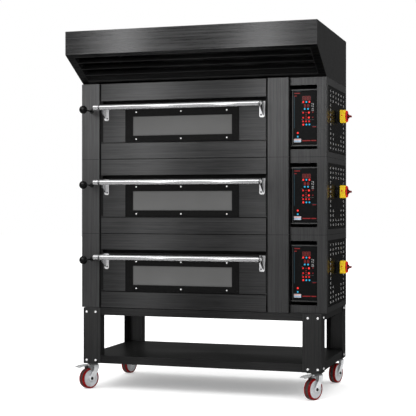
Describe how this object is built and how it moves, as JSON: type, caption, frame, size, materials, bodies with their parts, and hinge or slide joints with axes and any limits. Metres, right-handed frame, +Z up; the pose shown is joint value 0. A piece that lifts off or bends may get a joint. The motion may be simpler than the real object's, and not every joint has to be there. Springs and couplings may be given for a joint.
{
  "type": "deck oven",
  "caption": "Electric bakery deck oven with drop-down glazed doors, recessed controls, sloping louvred steam hood and a wheeled stand with a shelf.",
  "frame": {"origin": "bottom centre of the overall box, on the floor", "axes": "+X to the oven's right seen from the front (control column side), +Y to the back, +Z up"},
  "size_m": [1.5738, 0.961, 2.1237],
  "materials": {
    "dark_steel": "black-tinted brushed stainless sheet, satin",
    "chamber_steel": "heat-resistant sheet, dull",
    "mineral_wool": "matt fibre",
    "hearth_stone": "dry, fine-grained",
    "element_steel": "oxidised tube, dull",
    "door_glass": "mirror-coated heat glass",
    "frame_black": "satin black",
    "chrome": "polished",
    "knob_black": "glossy",
    "panel_black": "satin membrane",
    "switch_yellow": "moulded",
    "switch_red": "moulded",
    "zinc_steel": "bright zinc plate",
    "wheel_red": "polyurethane tyre on a light hub"
  },
  "bodies": {
    "body": {"lower_casing": "dark_steel", "lower_side_cover": "dark_steel", "lower_chamber": "chamber_steel", "lower_insulation": "mineral_wool", "lower_hearth": "hearth_stone", "lower_heating_elements": "element_steel", "lower_control_panel": "panel_black", "lower_switch_base": "switch_yellow", "middle_casing": "dark_steel", "middle_side_cover": "dark_steel", "middle_chamber": "chamber_steel", "middle_insulation": "mineral_wool", "middle_hearth": "hearth_stone", "middle_heating_elements": "element_steel", "middle_control_panel": "panel_black", "middle_switch_base": "switch_yellow", "upper_casing": "dark_steel", "upper_side_cover": "dark_steel", "upper_chamber": "chamber_steel", "upper_insulation": "mineral_wool", "upper_hearth": "hearth_stone", "upper_heating_elements": "element_steel", "upper_control_panel": "panel_black", "upper_switch_base": "switch_yellow", "hood_shell": "dark_steel", "hood_louvre_bank": "dark_steel", "front_left_leg": "dark_steel", "front_right_leg": "dark_steel", "rear_left_leg": "dark_steel", "rear_right_leg": "dark_steel", "stand_top_frame": "dark_steel", "stand_shelf": "dark_steel"},
    "lower_door": {"lower_door_panel": "dark_steel", "lower_door_glass": "door_glass", "lower_window_frame": "frame_black", "lower_handle": "chrome"},
    "lower_damper": {"lower_damper_knob": "knob_black"},
    "lower_switch": {"lower_switch_knob": "switch_red"},
    "middle_door": {"middle_door_panel": "dark_steel", "middle_door_glass": "door_glass", "middle_window_frame": "frame_black", "middle_handle": "chrome"},
    "middle_damper": {"middle_damper_knob": "knob_black"},
    "middle_switch": {"middle_switch_knob": "switch_red"},
    "upper_door": {"upper_door_panel": "dark_steel", "upper_door_glass": "door_glass", "upper_window_frame": "frame_black", "upper_handle": "chrome"},
    "upper_damper": {"upper_damper_knob": "knob_black"},
    "upper_switch": {"upper_switch_knob": "switch_red"},
    "front_left_caster": {"front_left_caster_fork": "zinc_steel"},
    "front_left_roller": {"front_left_wheel": "wheel_red"},
    "front_left_brake": {"front_left_brake_pedal": "chrome"},
    "front_right_caster": {"front_right_caster_fork": "zinc_steel"},
    "front_right_roller": {"front_right_wheel": "wheel_red"},
    "front_right_brake": {"front_right_brake_pedal": "chrome"},
    "rear_left_caster": {"rear_left_caster_fork": "zinc_steel"},
    "rear_left_roller": {"rear_left_wheel": "wheel_red"},
    "rear_right_caster": {"rear_right_caster_fork": "zinc_steel"},
    "rear_right_roller": {"rear_right_wheel": "wheel_red"}
  },
  "joints": [
    {"name": "lower_door_hinge", "type": "hinge", "parent": "body", "child": "lower_door", "pos_m": [-0.14334, -0.2335, 0.579], "axis": [1, 0, 0], "range_deg": [0, 90]},
    {"name": "lower_damper_pull", "type": "slide", "parent": "body", "child": "lower_damper", "axis": [0, -1, 0], "range_m": [-0.07, 0]},
    {"name": "lower_switch_turn", "type": "hinge", "parent": "body", "child": "lower_switch", "pos_m": [0.75591, 0.0755, 0.725], "axis": [1, 0, 0], "range_deg": [0, 90]},
    {"name": "middle_door_hinge", "type": "hinge", "parent": "body", "child": "middle_door", "pos_m": [-0.14334, -0.2335, 1.016], "axis": [1, 0, 0], "range_deg": [0, 90]},
    {"name": "middle_damper_pull", "type": "slide", "parent": "body", "child": "middle_damper", "axis": [0, -1, 0], "range_m": [-0.07, 0]},
    {"name": "middle_switch_turn", "type": "hinge", "parent": "body", "child": "middle_switch", "pos_m": [0.75591, 0.0755, 1.162], "axis": [1, 0, 0], "range_deg": [0, 90]},
    {"name": "upper_door_hinge", "type": "hinge", "parent": "body", "child": "upper_door", "pos_m": [-0.14334, -0.2335, 1.453], "axis": [1, 0, 0], "range_deg": [0, 90]},
    {"name": "upper_damper_pull", "type": "slide", "parent": "body", "child": "upper_damper", "axis": [0, -1, 0], "range_m": [-0.07, 0]},
    {"name": "upper_switch_turn", "type": "hinge", "parent": "body", "child": "upper_switch", "pos_m": [0.75591, 0.0755, 1.599], "axis": [1, 0, 0], "range_deg": [0, 90]},
    {"name": "front_left_swivel", "type": "hinge", "parent": "body", "child": "front_left_caster", "pos_m": [-0.71109, -0.2155, 0.145], "axis": [0, 0, 1], "continuous": true},
    {"name": "front_left_roll", "type": "hinge", "parent": "front_left_caster", "child": "front_left_roller", "pos_m": [-0.72471, -0.24223, 0.06], "axis": [0.891, -0.454, 0], "continuous": true},
    {"name": "front_left_brake_press", "type": "hinge", "parent": "front_left_caster", "child": "front_left_brake", "pos_m": [-0.73016, -0.25292, 0.139], "axis": [0.891, -0.454, 0], "range_deg": [0, 15]},
    {"name": "front_right_swivel", "type": "hinge", "parent": "body", "child": "front_right_caster", "pos_m": [0.64091, -0.2155, 0.145], "axis": [0, 0, 1], "continuous": true},
    {"name": "front_right_roll", "type": "hinge", "parent": "front_right_caster", "child": "front_right_roller", "pos_m": [0.62729, -0.24223, 0.06], "axis": [0.891, -0.454, 0], "continuous": true},
    {"name": "front_right_brake_press", "type": "hinge", "parent": "front_right_caster", "child": "front_right_brake", "pos_m": [0.62184, -0.25292, 0.139], "axis": [0.891, -0.454, 0], "range_deg": [0, 15]},
    {"name": "rear_left_swivel", "type": "hinge", "parent": "body", "child": "rear_left_caster", "pos_m": [-0.71109, 0.4285, 0.145], "axis": [0, 0, 1], "continuous": true},
    {"name": "rear_left_roll", "type": "hinge", "parent": "rear_left_caster", "child": "rear_left_roller", "pos_m": [-0.71886, 0.39952, 0.06], "axis": [0.9659, -0.2588, 0], "continuous": true},
    {"name": "rear_right_swivel", "type": "hinge", "parent": "body", "child": "rear_right_caster", "pos_m": [0.64091, 0.4285, 0.145], "axis": [0, 0, 1], "continuous": true},
    {"name": "rear_right_roll", "type": "hinge", "parent": "rear_right_caster", "child": "rear_right_roller", "pos_m": [0.63314, 0.39952, 0.06], "axis": [0.9659, -0.2588, 0], "continuous": true}
  ]
}
